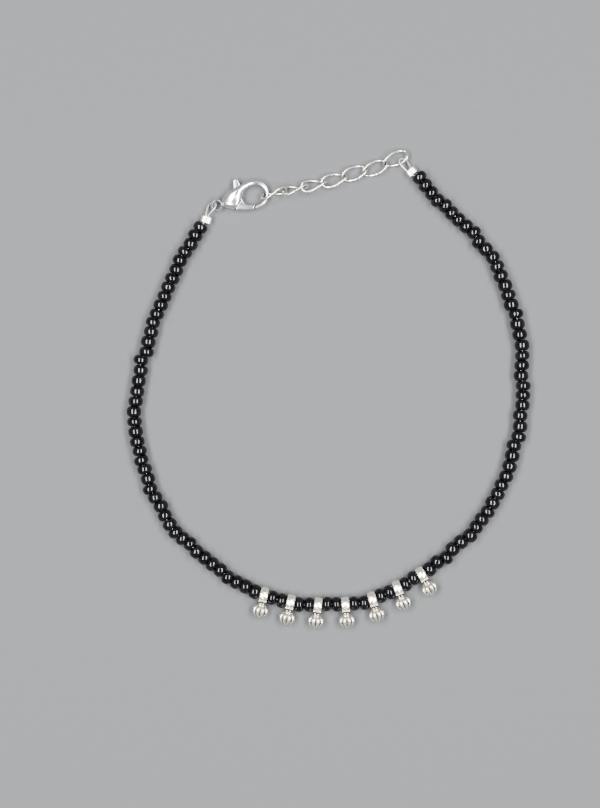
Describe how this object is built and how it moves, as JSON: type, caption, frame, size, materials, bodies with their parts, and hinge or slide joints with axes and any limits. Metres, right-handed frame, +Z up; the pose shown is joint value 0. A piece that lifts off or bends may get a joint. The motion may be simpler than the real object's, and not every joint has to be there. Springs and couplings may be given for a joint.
{
  "type": "payal anklet",
  "caption": "Anklet of round black glass beads on wire with a row of small silver bells at its front, closed by a short curb chain and a lobster clasp.",
  "frame": {"origin": "middle of the anklet's bounding box, on the surface that it lies on", "axes": "+Z up from that surface; +Y from the bells at the front towards the clasp and chain at the back; +X from the clasp towards the chain's free end"},
  "size_m": [0.0812, 0.0954, 0.0033],
  "materials": {
    "black_glass": "polished opaque black glass",
    "bell_silver": "polished silver, lightly oxidised in its grooves",
    "clasp_silver": "polished cast silver",
    "chain_silver": "polished, slightly warm silver",
    "crimp_silver": "satin silver, pressed flat",
    "coated_wire": "clear nylon coated beading wire"
  },
  "bodies": {
    "anklet": {"bead_string_left": "black_glass", "bead_string_right": "black_glass", "bell_1": "bell_silver", "bell_2": "bell_silver", "bell_3": "bell_silver", "bell_4": "bell_silver", "bell_5": "bell_silver", "bell_6": "bell_silver", "bell_7": "bell_silver", "chain_link_1": "chain_silver", "chain_link_2": "chain_silver", "chain_link_3": "chain_silver", "chain_link_4": "chain_silver", "chain_link_5": "chain_silver", "chain_link_6": "chain_silver", "chain_link_7": "chain_silver", "clasp_body": "clasp_silver", "clasp_pin": "clasp_silver", "crimp_left": "crimp_silver", "crimp_right": "crimp_silver", "front_bead_1": "black_glass", "front_bead_10": "black_glass", "front_bead_11": "black_glass", "front_bead_12": "black_glass", "front_bead_2": "black_glass", "front_bead_3": "black_glass", "front_bead_4": "black_glass", "front_bead_5": "black_glass", "front_bead_6": "black_glass", "front_bead_7": "black_glass", "front_bead_8": "black_glass", "front_bead_9": "black_glass", "front_wire": "coated_wire", "wire_loop_left": "coated_wire", "wire_loop_right": "coated_wire"},
    "lever": {"clasp_lever": "clasp_silver"}
  },
  "joints": [
    {"name": "clasp_lever_hinge", "type": "hinge", "parent": "anklet", "child": "lever", "pos_m": [-0.01791, 0.03872, 0.00135], "axis": [0, 0, 1], "range_deg": [0, 25], "stiffness_Nm_per_rad": 0.005}
  ]
}
